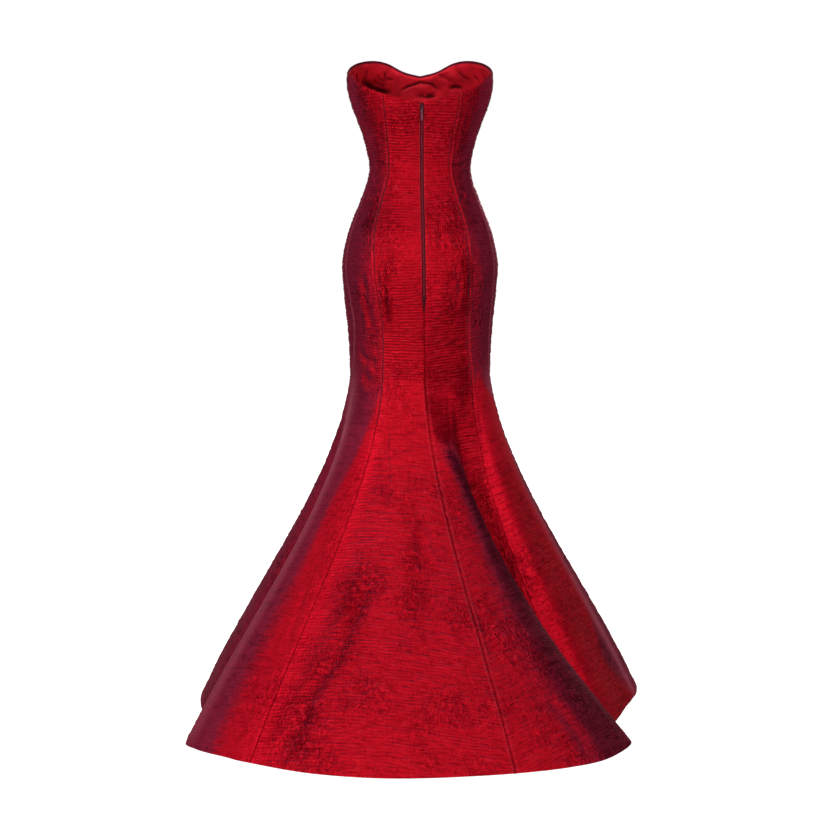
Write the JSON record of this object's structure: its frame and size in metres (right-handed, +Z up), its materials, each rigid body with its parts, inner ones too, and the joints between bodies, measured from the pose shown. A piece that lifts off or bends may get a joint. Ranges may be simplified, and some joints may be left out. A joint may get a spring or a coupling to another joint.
{
  "type": "strapless mermaid gown",
  "caption": "Strapless floor-length mermaid gown in its worn, hollow form, fitted to the knee and flared to a folded hem, with a back zip and a lined bodice.",
  "frame": {"origin": "centre of the waist, where the wearer holds the gown, 1180 mm above the hem", "axes": "+Z up; the front faces -Y and the zip faces +Y; the wearer's left is +X"},
  "size_m": [0.9845, 1.0527, 1.4072],
  "materials": {
    "taffeta": "shot crinkle taffeta, red with a purple and navy cast at grazing angles",
    "satin_lining": "smooth red satin",
    "zip_coil": "dark plum woven tape and nylon coil",
    "zip_metal": "satin plated zinc"
  },
  "bodies": {
    "gown": {"centre_front": "taffeta", "side_front_left": "taffeta", "side_front_right": "taffeta", "side_back_left": "taffeta", "side_back_right": "taffeta", "centre_back_left": "taffeta", "centre_back_right": "taffeta", "bodice_lining": "satin_lining", "zip_chain": "zip_coil", "zip_slider": "zip_metal", "zip_bottom_stop": "zip_metal"},
    "pull": {"zip_pull": "zip_metal"}
  },
  "joints": [
    {"name": "pull_swing", "type": "hinge", "parent": "gown", "child": "pull", "pos_m": [-0.00387, 0.10064, 0.12036], "axis": [1, 0, 0], "range_deg": [0, 170]}
  ]
}
